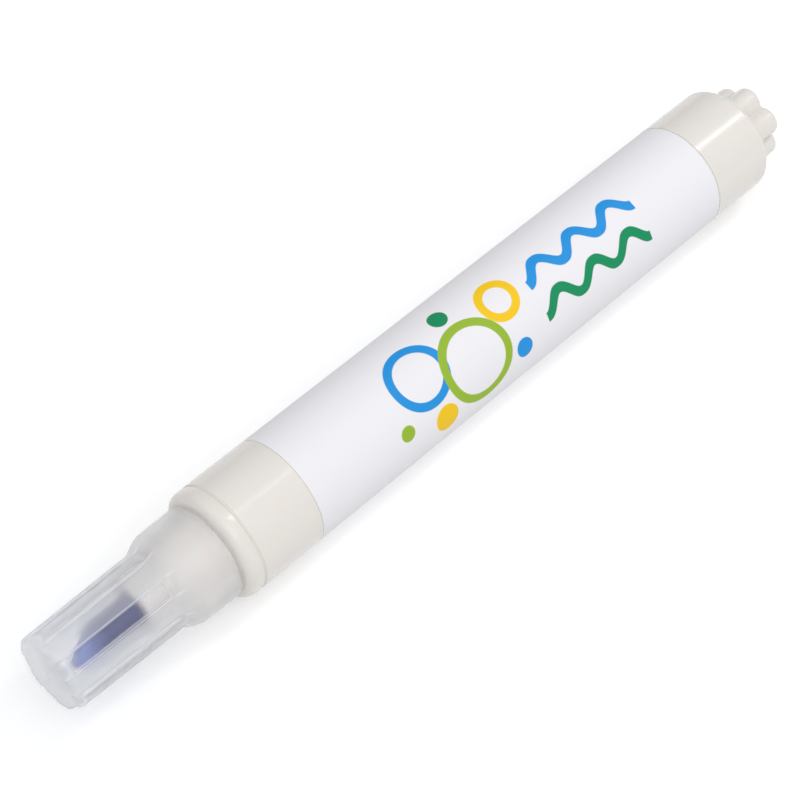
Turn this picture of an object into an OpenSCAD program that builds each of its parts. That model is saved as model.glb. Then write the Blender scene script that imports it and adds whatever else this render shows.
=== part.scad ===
// Stain remover pen: a marker-style tube of cleaning liquid with a felt nib. Pressing the nib
// on cloth pushes a sprung valve open and lets the liquid out. A ribbed cap pulls off the front.
// Millimetres. The pen lies along X with the cap toward -X, and the barrel rests on Z = 0.

/* [Barrel] */
// Outer diameter of the barrel
barrel_d = 17; // [15.5:0.5:20]
// Length of the barrel tube
barrel_len = 104.4; // [80:0.2:130]
// Wall of the barrel tube
barrel_wall = 1.2; // [1:0.05:1.5]
// Rounding of the barrel's rear edge
barrel_round = 0.6; // [0.3:0.1:0.8]

/* [Label] */
// Length of the label along the barrel
label_len = 82.4; // [50:0.2:85]
// From the barrel's mouth to the label's front edge
label_start = 10.5; // [8:0.1:15]
// Thickness of the label film
label_t = 0.1; // [0.06:0.01:0.14]
// How far the label lies below the bare ends of the barrel
label_below = 0.05; // [0.02:0.01:0.1]
// Width of the open seam where the label's two edges meet
label_seam = 0.4; // [0.2:0.1:1]

/* [Nib] */
// Diameter of the felt nib
nib_d = 4.6; // [4:0.1:5]
// How far the nib stands out of the nose
nib_out = 10.5; // [8:0.1:11.5]
// Lean of the slanted cut, from square across the nib
nib_slant = 56; // [30:1:60]
// Rounding of the nib's leading edge
nib_round = 0.9; // [0.4:0.1:1.4]
// How far the nib goes in when it is pressed
press_travel = 1.5; // [1:0.1:2]

/* [Nose] */
// Wall of the nose round the nib
nose_wall = 1.74; // [1.4:0.02:2]
// Length of the straight front of the nose
nose_tip_len = 4.4; // [3:0.1:6]
// Length of the cone between the front of the nose and its neck
cone_len = 4; // [3:0.1:5]
// Diameter of the liquid chamber behind the nib
chamber_d = 8.4; // [7.8:0.1:8.8]
// Length of that chamber
chamber_len = 5.5; // [4:0.1:7]
// Wall of the neck round that chamber
neck_wall = 2; // [1.6:0.1:2.4]
// Length of the neck that the cap grips
neck_len = 4.85; // [4.2:0.05:7]
// Length of the collar in front of the barrel
collar_len = 2.6; // [2:0.1:4]
// Rounding of the collar's front edge
collar_round = 1.2; // [0.5:0.1:1.4]
// Thickness of the gasket between collar and barrel
gasket_t = 0.2; // [0.15:0.05:0.5]
// Length of the spigot inside the barrel
spigot_len = 12; // [11:0.5:16]
// Wall of the spigot
spigot_wall = 1.38; // [1.1:0.02:1.6]

/* [Cap] */
// Whole length of the cap
cap_len = 27.3; // [27:0.1:32]
// How far in front of the nose's neck the skirt's full bore starts
skirt_lead = 1.25; // [0.8:0.05:2]
// Length of the S-shaped shoulder
shoulder_len = 4.7; // [4:0.1:5.5]
// Room between the nose and the cap's grip
grip_room = 0.75; // [0.5:0.05:1]
// Wall of the grip between its ribs
grip_wall = 0.85; // [0.7:0.05:1.2]
// Narrowing of the grip toward the closed end, on the radius
grip_draft = 0.2; // [0.1:0.05:0.3]
// Wall of the skirt
skirt_wall = 0.86; // [0.7:0.02:1.2]
// Widening of the skirt toward its lip, on the radius
skirt_flare = 0.12; // [0:0.02:0.3]
// Wall of the closed end
end_wall = 1.1; // [0.8:0.1:1.6]
// Rounding of the closed end
end_round = 1.1; // [0.6:0.1:1.5]
// Number of grip ribs
rib_count = 6; // [4:1:9]
// Height of a rib
rib_h = 0.4; // [0.2:0.05:0.6]
// Width of a rib, as an angle
rib_angle = 26; // [16:1:34]
// Gap between the cap's lip and the collar
lip_gap = 0.4; // [0.2:0.1:1]

/* [Valve] */
// Wall of the valve cup
cup_wall = 1.2; // [1:0.1:1.4]
// Thickness of the cup's front wall and of its flange
cup_floor = 1; // [0.8:0.1:1.4]
// From the barrel's mouth back to the cup's front
cup_in = 1; // [0.8:0.1:1.5]
// Thickness of the rubber washer
washer_t = 0.8; // [0.6:0.1:1.2]
// Diameter of the stem's two rods
stem_d = 2.5; // [2:0.1:2.8]
// Thickness of the stem's sealing disc
disc_t = 1.2; // [0.8:0.1:1.6]
// Length of the stem's boss inside the spring
boss_len = 1.5; // [1:0.1:2.5]
// Wire diameter of the spring
wire_d = 0.45; // [0.35:0.05:0.55]
// Length of the spring in its cup
spring_len = 9.8; // [8.5:0.1:12]
// Turns of the spring
spring_turns = 6; // [4:0.5:7]

/* [End plug] */
// How far the lobed grip stands out of the barrel
plug_out = 6.1; // [4:0.1:8]
// Diameter over the lobes
plug_d = 12.3; // [11:0.1:13]
// Number of lobes
lobe_count = 6; // [5:1:8]
// Diameter of one lobe
lobe_d = 4.5; // [4.4:0.1:5]
// Rounding of the lobes' outer edge
lobe_round = 0.9; // [0.4:0.1:1.2]
// Length of the plug inside the barrel
plug_in = 9; // [8:0.5:14]
// Wall of the plug inside the barrel
plug_wall = 1.5; // [1.45:0.05:1.8]
// From the plug's inner end to its ring groove
groove_in = 3; // [2:0.1:4]
// Thickness of the rubber ring
ring_d = 1.2; // [1:0.05:1.3]

/* [Hidden] */

// Clearances on the radius: a pushed-in piece, a sliding rod, the nib, the cap over the neck
push_fit = 0.02;
slide_fit = 0.06;
nib_fit = 0.06;
cap_fit = 0.12;

// How far a cutting solid runs past the face that it opens
CUT = 1;

IVORY = [0.93, 0.92, 0.87];
MILKY = [0.86, 0.88, 0.93, 0.6];
RUBBER_TAN = [0.72, 0.6, 0.45];
FELT = [0.13, 0.12, 0.27];
WHITE = [0.97, 0.97, 0.98];
STEEL = [0.75, 0.76, 0.78];

// Turn of the ribs, of the lobes, of the nib's cut and of the label's seam about the axis,
// counted from straight down
rib_turn = 37;
lobe_turn = 55;
nib_turn = 120;
seam_turn = 20;

// Radii from the inside out
barrel_r = barrel_d / 2;
bore_r = barrel_r - barrel_wall;
panel_r = barrel_r - label_below - label_t;
nib_r = nib_d / 2;
nib_hole_r = nib_r + nib_fit;
nose_tip_r = nib_hole_r + nose_wall;
chamber_r = chamber_d / 2;
neck_r = chamber_r + neck_wall;
spigot_r = bore_r - push_fit;
valve_bore_r = spigot_r - spigot_wall;
grip_bore_r = nose_tip_r + grip_room;
grip_r = grip_bore_r + grip_wall;
cap_bore_r = neck_r + cap_fit;
skirt_r = cap_bore_r + skirt_wall;
lip_r = skirt_r + skirt_flare;
collar_below = 0.05;
collar_r = barrel_r - collar_below;

// Places along the pen's axis, from the barrel's mouth at 0, with the cap on the minus side
collar_back = -gasket_t;
collar_front = collar_back - collar_len;
neck_front = collar_front - neck_len;
cone_front = neck_front - cone_len;
nose_front = cone_front - nose_tip_len;
nib_front = nose_front - nib_out;
spigot_end = collar_back + spigot_len;
cap_lip = collar_front - lip_gap;
cap_front = cap_lip - cap_len;
skirt_front = neck_front - skirt_lead;
shoulder_front = skirt_front - shoulder_len;
plug_front = barrel_len - plug_in;
pen_back = barrel_len + plug_out;
middle = (cap_front + pen_back) / 2;

// The valve, from its cup's front face backward
cup_r = valve_bore_r - push_fit;
cup_bore_r = cup_r - cup_wall;
stem_r = stem_d / 2;
flow_room = 0.45;
seat_r = stem_r + flow_room;
seat_cover = 1.2;
disc_r = seat_r + seat_cover;
boss_step = 0.45;
boss_r = stem_r + boss_step;
coil_room = 0.275;
coil_r = boss_r + coil_room + wire_d / 2;
cup_front = cup_in;
chamber_front = cup_front - chamber_len;
washer_front = cup_front + cup_floor;
disc_front = washer_front + washer_t;
spring_front = disc_front + disc_t;
spring_back = spring_front + spring_len;
cage_plate_t = 1.2;
cup_back = spring_back + cage_plate_t;
cage_flange_t = 0.6;
cage_back = cup_back + cage_flange_t;
stem_past = 0.2;
stem_back = cage_back + stem_past;
nib_back_gap = 0.5;
nib_back = cup_front - press_travel - nib_back_gap;

// The end plug's stop flange and ring groove
stop_t = 1.5;
stop_h = 0.3;
groove_front = plug_front + groove_in;
ring_side_room = 0.2;
groove_w = ring_d + ring_side_room;
ring_under_room = 0.03;
groove_r = bore_r - push_fit - ring_d - ring_under_room;

TURN_FN = 96;
SMALL_FN = 48;
ARC_STEPS = 6;
EASE_STEPS = 12;
FAR = 40;

// Stands a piece that is modelled upright on the pen's axis in its place along X
module on_axis()
    translate([-middle, 0, barrel_r])
        rotate([0, 90, 0])
            children();

// A solid turned from its half outline of [radius, place along the axis] points
module turned(outline)
    rotate_extrude($fn = TURN_FN)
        polygon(outline);

module rod(r, from, to, fn = SMALL_FN)
    translate([0, 0, from])
        cylinder(r = r, h = to - from, $fn = fn);

module tube(outer, inner, from, to)
    difference() {
        rod(outer, from, to, TURN_FN);
        rod(inner, from - CUT, to + CUT, TURN_FN);
    }

// Points of a quarter round about [r, z], from one angle to another
function arc(r, z, radius, a0, a1) =
    [for (i = [0:ARC_STEPS]) let (a = a0 + (a1 - a0) * i / ARC_STEPS)
        [r + radius * cos(a), z + radius * sin(a)]];

// Points of an S-shaped rise from radius r0 at z0 to r1 at z1
function rise(r0, z0, r1, z1) =
    [for (i = [0:EASE_STEPS]) let (t = i / EASE_STEPS)
        [r0 + (r1 - r0) * (1 - cos(180 * t)) / 2, z0 + (z1 - z0) * t]];

// The cap: milky shell with a ribbed grip, an S-shaped shoulder and a plain skirt
module cap_body() {
    end_r = grip_r - grip_draft;
    lip_round = 0.25;
    turned(concat([[0, cap_front]],
        arc(end_r - end_round, cap_front + end_round, end_round, -90, 0),
        rise(grip_r, shoulder_front, skirt_r, skirt_front),
        arc(lip_r - lip_round, cap_lip - lip_round, lip_round, 0, 90),
        [[0, cap_lip]]));
}

module cap_ribs() {
    top_r = grip_r + rib_h;
    end_r = top_r - grip_draft;
    foot_r = grip_bore_r + grip_wall / 2 - grip_draft;
    rib_back = skirt_front - CUT;
    intersection() {
        turned(concat([[0, cap_front]],
            arc(end_r - end_round, cap_front + end_round, end_round, -90, 0),
            [[top_r, shoulder_front], [top_r, rib_back], [0, rib_back]]));
        for (i = [0:rib_count - 1])
            rotate([0, 0, rib_turn + 360 / rib_count * i])
                translate([0, 0, cap_front - CUT])
                    linear_extrude(height = rib_back - cap_front + CUT)
                        polygon([[foot_r, -foot_r * tan(rib_angle / 2)],
                                 [FAR, -FAR * tan(rib_angle / 2)],
                                 [FAR, FAR * tan(rib_angle / 2)],
                                 [foot_r, foot_r * tan(rib_angle / 2)]]);
    }
}

module cap_hollow() {
    bead_h = 0.08;
    bead_z = collar_front - neck_len / 2;
    bead_half = 0.45;
    wide_r = cap_bore_r + 0.4;
    wide_front = cap_lip - 1.3;
    wide_back = cap_lip - 0.9;
    inner_rise = 0.3;
    corner = 0.6;
    end_r = grip_bore_r - grip_draft;
    end_z = cap_front + end_wall;
    turned(concat([[0, end_z], [end_r - corner, end_z], [end_r, end_z + corner]],
        rise(grip_bore_r, shoulder_front + inner_rise, cap_bore_r, skirt_front + inner_rise),
        [[cap_bore_r, bead_z - bead_half], [cap_bore_r - bead_h, bead_z],
         [cap_bore_r, bead_z + bead_half],
         [cap_bore_r, wide_front], [wide_r, wide_back], [wide_r, cap_lip + CUT], [0, cap_lip + CUT]]));
}

module cap() {
    gate_r = 0.8;
    gate_depth = 0.15;
    color(MILKY)
        on_axis()
            difference() {
                union() {
                    cap_body();
                    cap_ribs();
                }
                cap_hollow();
                rod(gate_r, cap_front - CUT, cap_front + gate_depth);
            }
}

// The felt nib: a rod whose front is cut on the slant, with the edges rounded over
module nib() {
    color(FELT)
        on_axis()
            difference() {
                turned(concat([[0, nib_front]],
                    arc(nib_r - nib_round, nib_front + nib_round, nib_round, -90, 0),
                    [[nib_r, nib_back], [0, nib_back]]));
                rotate([0, 0, nib_turn])
                    translate([-nib_r * 0.3, 0, nib_front])
                        rotate([0, -nib_slant, 0])
                            translate([0, -FAR / 2, -FAR])
                                cube([FAR, FAR, FAR]);
            }
}

// The nose: nib holder, neck for the cap, collar and spigot, in one moulding
module nose_outside() {
    tip_round = 0.5;
    groove_z = collar_front - neck_len / 2;
    groove_half = 0.5;
    groove_depth = 0.2;
    chamfer = 0.6;
    turned(concat([[0, nose_front]],
        arc(nose_tip_r - tip_round, nose_front + tip_round, tip_round, -90, 0),
        [[nose_tip_r, cone_front], [neck_r, neck_front],
         [neck_r, groove_z - groove_half], [neck_r - groove_depth, groove_z - groove_half / 2],
         [neck_r - groove_depth, groove_z + groove_half / 2], [neck_r, groove_z + groove_half],
         [neck_r, collar_front]],
        arc(collar_r - collar_round, collar_front + collar_round, collar_round, -90, 0),
        [[collar_r, collar_back], [spigot_r, collar_back],
         [spigot_r, spigot_end - chamfer], [spigot_r - chamfer, spigot_end], [0, spigot_end]]));
}

module nose() {
    flute_r = 0.4;
    flutes = 4;
    color(IVORY)
        on_axis()
            difference() {
                nose_outside();
                rod(nib_hole_r, nose_front - CUT, cup_front, TURN_FN);
                rod(chamber_r, chamber_front, cup_front + CUT, TURN_FN);
                rod(valve_bore_r, cup_front, spigot_end + CUT, TURN_FN);
                for (i = [0:flutes - 1])
                    rotate([0, 0, 45 + 360 / flutes * i])
                        translate([nib_hole_r, 0, 0])
                            rod(flute_r, nose_front - CUT, chamber_front + CUT);
            }
}

// The thin gasket that shows as a tan line between collar and barrel
module collar_gasket() {
    color(RUBBER_TAN)
        on_axis()
            tube(collar_r - collar_below, bore_r, collar_back, 0);
}

// The barrel: a tube with a shallow panel for the label and a seat for the end plug
module barrel() {
    panel_room = 0.15;
    panel_front = label_start - panel_room;
    panel_back = label_start + label_len + panel_room;
    color(IVORY)
        on_axis()
            difference() {
                turned(concat([[0, 0], [barrel_r, 0], [barrel_r, panel_front], [panel_r, panel_front],
                               [panel_r, panel_back], [barrel_r, panel_back]],
                    arc(barrel_r - barrel_round, barrel_len - barrel_round, barrel_round, 0, 90),
                    [[0, barrel_len]]));
                rod(bore_r, -CUT, barrel_len + CUT, TURN_FN);
                rod(bore_r + stop_h, barrel_len - stop_t, barrel_len + CUT, TURN_FN);
            }
}

// The label: a film wrapped once round the barrel's panel
module label() {
    film_gap = 0.005;
    color(WHITE)
        on_axis()
            difference() {
                tube(panel_r + label_t, panel_r + film_gap, label_start, label_start + label_len);
                rotate([0, 0, seam_turn])
                    translate([0, -label_seam / 2, label_start - CUT])
                        cube([barrel_r + CUT, label_seam, label_len + 2 * CUT]);
            }
}

// The end plug: a hollow spigot in the barrel and a grip of round lobes outside it
module plug_lobe(r, from, to) {
    rotate_extrude($fn = SMALL_FN)
        translate([0, from])
            union() {
                square([r, to - from - lobe_round]);
                square([r - lobe_round, to - from]);
                translate([r - lobe_round, to - from - lobe_round])
                    intersection() {
                        circle(r = lobe_round, $fn = 32);
                        square(lobe_round);
                    }
            }
}

module end_plug() {
    floor_t = 2;
    lobe_r = lobe_d / 2;
    lobe_out = plug_d / 2 - lobe_r;
    lead = 0.5;
    grip_front = barrel_len - stop_t / 2;
    color(IVORY)
        on_axis()
            difference() {
                union() {
                    rod(spigot_r, plug_front, barrel_len, TURN_FN);
                    rod(bore_r + stop_h - push_fit, barrel_len - stop_t, barrel_len, TURN_FN);
                    rod(lobe_out, grip_front, pen_back, TURN_FN);
                    for (i = [0:lobe_count - 1])
                        rotate([0, 0, lobe_turn + 360 / lobe_count * i])
                            translate([lobe_out, 0, 0])
                                plug_lobe(lobe_r, grip_front, pen_back);
                }
                rod(spigot_r - plug_wall, plug_front - CUT, barrel_len - floor_t, TURN_FN);
                difference() {
                    rod(barrel_r, groove_front, groove_front + groove_w, TURN_FN);
                    rod(groove_r, groove_front - CUT, groove_front + groove_w + CUT, TURN_FN);
                }
                difference() {
                    rod(barrel_r, plug_front - CUT, plug_front + lead, TURN_FN);
                    translate([0, 0, plug_front])
                        cylinder(r1 = spigot_r - lead, r2 = spigot_r, h = lead, $fn = TURN_FN);
                }
            }
}

// The rubber ring in the plug's groove
module plug_seal() {
    color(RUBBER_TAN)
        on_axis()
            translate([0, 0, groove_front + groove_w / 2])
                rotate_extrude($fn = TURN_FN)
                    translate([bore_r - push_fit - ring_d / 2, 0])
                        circle(d = ring_d, $fn = 24);
}

// The valve cup: pushed into the back of the nose, with a flange that stops on the spigot
module valve_cup() {
    flange_room = 0.4;
    flange_r = bore_r - flange_room;
    color(WHITE)
        on_axis()
            difference() {
                union() {
                    rod(cup_r, cup_front, cup_back, TURN_FN);
                    rod(flange_r, spigot_end, spigot_end + cup_floor, TURN_FN);
                }
                rod(seat_r, cup_front - CUT, washer_front + CUT);
                rod(cup_bore_r, washer_front, cup_back + CUT, TURN_FN);
            }
}

// The rubber washer that the stem's disc closes on
module valve_washer() {
    color(RUBBER_TAN)
        on_axis()
            tube(cup_bore_r - push_fit, seat_r, washer_front, disc_front);
}

// The valve stem: front rod behind the nib, sealing disc, spring boss and guided rear rod
module valve_stem() {
    boss_back = spring_front + boss_len;
    color(WHITE)
        on_axis()
            turned([[0, nib_back], [stem_r, nib_back], [stem_r, disc_front], [disc_r, disc_front],
                    [disc_r, spring_front], [boss_r, spring_front], [boss_r, boss_back],
                    [stem_r, boss_back + boss_step], [stem_r, stem_back], [0, stem_back]]);
}

// The spring: one round wire swept along a helix, six-sided, eight rings a turn
module valve_spring() {
    seat_gap = 0.02;
    rings_per_turn = 8;
    sides = 6;
    wire_r = wire_d / 2;
    z0 = spring_front + seat_gap + wire_r;
    z1 = spring_back - seat_gap - wire_r;
    rings = spring_turns * rings_per_turn;
    pitch = (z1 - z0) / spring_turns;
    lean = atan(pitch / (2 * PI * coil_r));
    echo("least gap between turns", pitch * cos(lean) - wire_d);
    points = [for (i = [0:rings], s = [0:sides - 1])
        let (a = 360 * i / rings_per_turn, b = 360 * s / sides,
             out = coil_r + wire_r * cos(b), up = wire_r * sin(b))
        [out * cos(a) + up * sin(lean) * sin(a), out * sin(a) - up * sin(lean) * cos(a),
         z0 + (z1 - z0) * i / rings + up * cos(lean)]];
    skin = [for (i = [0:rings - 1], s = [0:sides - 1])
        let (n = (s + 1) % sides, p = i * sides, q = p + sides)
        each [[p + s, q + s, q + n], [p + s, q + n, p + n]]];
    ends = [for (s = [1:sides - 2]) each [[0, s, s + 1],
        [rings * sides, rings * sides + s + 1, rings * sides + s]]];
    color(STEEL)
        on_axis()
            polyhedron(points = points, faces = concat(skin, ends), convexity = 8);
}

// The valve cage: back cover of the cup, with windows for the liquid and a guide for the stem
module valve_cage() {
    windows = 4;
    window_r = 0.65;
    guide_r = stem_r + slide_fit;
    window_shift = 0.3;
    window_out = (guide_r + cup_bore_r) / 2 + window_shift;
    flange_room = 0.4;
    flange_r = cup_r - flange_room;
    color(WHITE)
        on_axis()
            difference() {
                union() {
                    rod(cup_bore_r - push_fit, spring_back, cup_back, TURN_FN);
                    rod(flange_r, cup_back, cage_back, TURN_FN);
                }
                rod(guide_r, spring_back - CUT, cage_back + CUT);
                for (i = [0:windows - 1])
                    rotate([0, 0, 360 / windows * i])
                        translate([window_out, 0, 0])
                            rod(window_r, spring_back - CUT, cage_back + CUT);
            }
}

cap();
nib();
nose();
collar_gasket();
barrel();
label();
end_plug();
plug_seal();
valve_cup();
valve_washer();
valve_stem();
valve_spring();
valve_cage();
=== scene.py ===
# %% [markdown]
# A stain remover pen is a fat felt marker filled with cleaning liquid. The construction model gives
# every piece at its real size, and this script dresses it: smooth moulded shells, a milky cap, a
# printed label and the light of a product picture. All lengths here are in metres.

# %% Load the construction model
import math

import bmesh
import bpy
from mathutils import Matrix, Vector


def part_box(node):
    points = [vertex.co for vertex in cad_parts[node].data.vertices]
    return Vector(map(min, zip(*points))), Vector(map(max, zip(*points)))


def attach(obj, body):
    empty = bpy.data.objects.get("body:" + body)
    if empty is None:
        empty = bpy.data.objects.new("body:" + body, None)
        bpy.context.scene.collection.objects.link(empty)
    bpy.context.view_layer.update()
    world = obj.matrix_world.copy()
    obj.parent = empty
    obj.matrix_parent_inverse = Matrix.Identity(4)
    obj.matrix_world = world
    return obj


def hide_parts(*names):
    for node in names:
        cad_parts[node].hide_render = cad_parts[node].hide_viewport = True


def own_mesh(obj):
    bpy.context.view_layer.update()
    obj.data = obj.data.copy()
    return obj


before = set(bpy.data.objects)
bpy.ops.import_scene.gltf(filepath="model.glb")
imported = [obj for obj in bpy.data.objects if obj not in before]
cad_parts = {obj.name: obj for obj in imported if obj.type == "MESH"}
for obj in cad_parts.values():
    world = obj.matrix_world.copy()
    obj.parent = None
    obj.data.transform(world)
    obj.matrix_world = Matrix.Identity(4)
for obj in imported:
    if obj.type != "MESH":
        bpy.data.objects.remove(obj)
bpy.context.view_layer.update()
MM = 0.001

barrel_low, barrel_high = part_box("barrel")
AXIS_Z = (barrel_low[2] + barrel_high[2]) / 2
BARREL_R = (barrel_high[2] - barrel_low[2]) / 2
MOUTH_X, TAIL_X = barrel_low[0], barrel_high[0]
print("barrel", round(BARREL_R * 2 / MM, 2), "mm across,",
      round((TAIL_X - MOUTH_X) / MM, 1), "mm long")

# %% [markdown]
# The photograph's camera looks down on the cap end from the side, through a long lens, so the
# barrel narrows only a little toward its tail. The pen lies flat, which fixes how high the camera
# stands.

# %% Camera
LENS_MM, SENSOR_MM = 107.6, 36
CAMERA_AZIMUTH = math.radians(-45.6)
CAMERA_ELEVATION = math.radians(51.2)
CAMERA_DISTANCE = 333 * MM
LOOK_AT = Vector((-6.7 * MM, -0.33 * MM, AXIS_Z - 0.18 * MM))
NEAREST_SEEN = 10 * MM

toward_camera = Vector((
    math.sin(CAMERA_AZIMUTH) * math.cos(CAMERA_ELEVATION),
    -math.cos(CAMERA_AZIMUTH) * math.cos(CAMERA_ELEVATION),
    math.sin(CAMERA_ELEVATION),
))
camera_data = bpy.data.cameras.new("camera")
camera_data.lens = LENS_MM
camera_data.sensor_width = SENSOR_MM
camera_data.clip_start = NEAREST_SEEN
camera = bpy.data.objects.new("camera", camera_data)
bpy.context.scene.collection.objects.link(camera)
camera.location = LOOK_AT + toward_camera * CAMERA_DISTANCE
camera.rotation_euler = toward_camera.to_track_quat("Z", "Y").to_euler()
bpy.context.scene.camera = camera
bpy.context.scene.view_settings.view_transform = "Standard"
print("camera stands", [round(v, 3) for v in camera.location])

# %% [markdown]
# Every moulded piece of the pen is round, so one helper does most of the modelling. It lays a few
# vertices out as a half outline and spins them round the pen's axis. Each outline point is a place
# along the axis and a radius.

# %% Half outline and spin
AXIS = Vector((1, 0, 0))
CENTRE = Vector((0, 0, AXIS_Z))
MERGE = 0.002 * MM


def outline_wire(bm, outline, closed=False):
    """The half outline as a chain of edges above the axis."""
    verts = [bm.verts.new((x, 0, AXIS_Z + r)) for x, r in outline]
    pairs = list(zip(verts, verts[1:]))
    if closed:
        pairs.append((verts[-1], verts[0]))
    edges = [bm.edges.new(pair) for pair in pairs]
    return verts + edges


def close_up(bm):
    """Welds the seam and the poles, and turns the faces outward."""
    bmesh.ops.remove_doubles(bm, verts=bm.verts, dist=MERGE)
    bmesh.ops.recalc_face_normals(bm, faces=bm.faces)


def spin_full(bm, geom, steps):
    """Spins an outline once round the axis."""
    bmesh.ops.spin(bm, geom=geom, cent=CENTRE, axis=AXIS, angle=math.tau, steps=steps,
                   use_merge=True)
    close_up(bm)


def start_at(bm, degrees):
    """Turns what the bmesh holds from above the axis to a place counted from straight down."""
    bmesh.ops.rotate(bm, verts=bm.verts, cent=CENTRE,
                     matrix=Matrix.Rotation(math.radians(degrees - 180), 3, "X"))


# %% [markdown]
# Corners are drawn sharp, because a sharp outline is easy to read and to measure. A mould has no
# sharp corners, so the ring of edges at a corner is bevelled after the spin.

# %% Rounded corners and finished pieces
SHARP_ANGLE = 35


def radius_of(vert):
    """How far a vertex lies from the pen's axis."""
    return math.hypot(vert.co.y, vert.co.z - AXIS_Z)


def round_ring(bm, x, r, width, segments):
    """Bevels the ring of edges that lies at one place along the axis and one radius."""
    def on_ring(vert):
        return abs(vert.co.x - x) < MERGE * 2 and abs(radius_of(vert) - r) < MERGE * 4

    ring = [edge for edge in bm.edges if all(on_ring(vert) for vert in edge.verts)]
    bmesh.ops.bevel(bm, geom=ring, offset=width, offset_type="OFFSET", affect="EDGES",
                    segments=segments, profile=0.5, material=-1)


def as_object(bm, name, sharp_angle=SHARP_ANGLE):
    """Turns the finished bmesh into a smooth-shaded object that keeps its real corners."""
    mesh = bpy.data.meshes.new(name)
    bm.to_mesh(mesh)
    bm.free()
    mesh.shade_smooth()
    mesh.set_sharp_from_angle(angle=math.radians(sharp_angle))
    piece = bpy.data.objects.new(name, mesh)
    bpy.context.scene.collection.objects.link(piece)
    print(name, len(mesh.polygons), "faces")
    return piece


def dress(piece, material, body, node):
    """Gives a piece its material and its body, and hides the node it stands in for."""
    piece.data.materials.append(material)
    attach(piece, body)
    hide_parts(node)


# %% [markdown]
# A finish is a small network of nodes. These helpers start one, add a node to it and wire two
# nodes together, so that a finish reads from top to bottom like a recipe.

# %% Node helpers
def start_material(name, **sockets):
    """A new material whose shader has the given plain socket values."""
    material = bpy.data.materials.new(name)
    material.use_nodes = True
    shader = material.node_tree.nodes["Principled BSDF"]
    for socket, value in sockets.items():
        shader.inputs[socket.replace("_", " ")].default_value = value
    return material, shader


def add_node(material, kind, **settings):
    """A node of one kind, with its properties set."""
    made = material.node_tree.nodes.new(kind)
    for key, value in settings.items():
        setattr(made, key, value)
    return made


def link(material, output, target):
    """Wires an output to an input."""
    material.node_tree.links.new(output, target)


def told(material):
    """Prints how big the finish's network is, and hands the material on."""
    print(material.name, "has", len(material.node_tree.nodes), "nodes")
    return material


# %% [markdown]
# Patterns are drawn with sums, so the commonest sums get a short name each. A ramp turns any value
# into another range and stays level outside it.

# %% Maths nodes
def maths(material, operation, *values):
    """One maths node; each value is a number or another node's output."""
    node = add_node(material, "ShaderNodeMath", operation=operation)
    for socket, value in zip(node.inputs, values):
        if isinstance(value, (int, float)):
            socket.default_value = value
        else:
            link(material, value, socket)
    return node.outputs["Value"]


def plus(material, first, second):
    return maths(material, "ADD", first, second)


def minus(material, first, second):
    return maths(material, "SUBTRACT", first, second)


def times(material, first, second):
    return maths(material, "MULTIPLY", first, second)


def ramp(material, value, start, end, low=0.0, high=1.0, shape="SMOOTHSTEP"):
    """Goes from low to high while a value goes from start to end."""
    ranger = add_node(material, "ShaderNodeMapRange", interpolation_type=shape)
    for socket, number in (("From Min", start), ("From Max", end),
                           ("To Min", low), ("To Max", high)):
        ranger.inputs[socket].default_value = number
    link(material, value, ranger.inputs["Value"])
    return ranger.outputs["Result"]


# %% [markdown]
# Moulded plastic is never one flat colour. Each finish starts from the same few things: noise in
# object coordinates for a slight drift of the colour and of the gloss, and a much finer noise as a
# bump for the skin that the mould leaves. A picture could carry the same drift, but noise has no
# seams and stays sharp at any distance.

# %% Drift and grain
def noise(material, scale, detail=2.0, stretch=(1, 1, 1)):
    """Noise in object coordinates; stretch above 1 packs it closer along that axis."""
    place = add_node(material, "ShaderNodeTexCoord")
    mapping = add_node(material, "ShaderNodeMapping")
    mapping.inputs["Scale"].default_value = stretch
    texture = add_node(material, "ShaderNodeTexNoise")
    texture.inputs["Scale"].default_value = scale
    texture.inputs["Detail"].default_value = detail
    link(material, place.outputs["Object"], mapping.inputs["Vector"])
    link(material, mapping.outputs["Vector"], texture.inputs["Vector"])
    return texture.outputs["Fac"]


def remap(material, value, low, high):
    """A 0 to 1 value moved to a narrow range."""
    return ramp(material, value, 0, 1, low, high, "LINEAR")


def blend_colours(material, value, first, second):
    """Two colours mixed by a value; a colour is three numbers or another node's output."""
    mix = add_node(material, "ShaderNodeMix", data_type="RGBA")
    link(material, value, mix.inputs["Factor"])
    for socket, colour in (("A", first), ("B", second)):
        if isinstance(colour, tuple):
            mix.inputs[socket].default_value = (*colour, 1)
        else:
            link(material, colour, mix.inputs[socket])
    return mix.outputs["Result"]


def add_bump(material, shader, height, depth):
    """A bump of a real depth in metres."""
    bump = add_node(material, "ShaderNodeBump")
    bump.inputs["Distance"].default_value = depth
    link(material, height, bump.inputs["Height"])
    link(material, bump.outputs["Normal"], shader.inputs["Normal"])


# %% [markdown]
# The barrel, the collar and the plug are ivory polypropylene: a warm white with a satin gloss. A
# little subsurface scattering lets light in under the skin, which keeps thick plastic from looking
# like paint.

# %% Ivory plastic
IVORY = (0.83, 0.795, 0.748)
IVORY_WARM = (0.82, 0.78, 0.723)
IVORY_ROUGHNESS = (0.16, 0.24)


def ivory_plastic():
    material, shader = start_material(
        "ivory_plastic", Subsurface_Weight=0.2, Subsurface_Scale=1.0 * MM, IOR=1.49)
    drift = noise(material, scale=90, detail=3)
    link(material, blend_colours(material, drift, IVORY, IVORY_WARM), shader.inputs["Base Color"])
    unevenness = noise(material, scale=500, detail=4)
    link(material, remap(material, unevenness, *IVORY_ROUGHNESS), shader.inputs["Roughness"])
    add_bump(material, shader, noise(material, scale=3500, detail=2), 0.003 * MM)
    return told(material)


ivory = ivory_plastic()

# %% [markdown]
# Some finishes change along the pen or round it: the cap's haze, the nib's wear and the print. They
# read the place along the axis and the turn about it, which two nodes work out from the object's
# coordinates.

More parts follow.
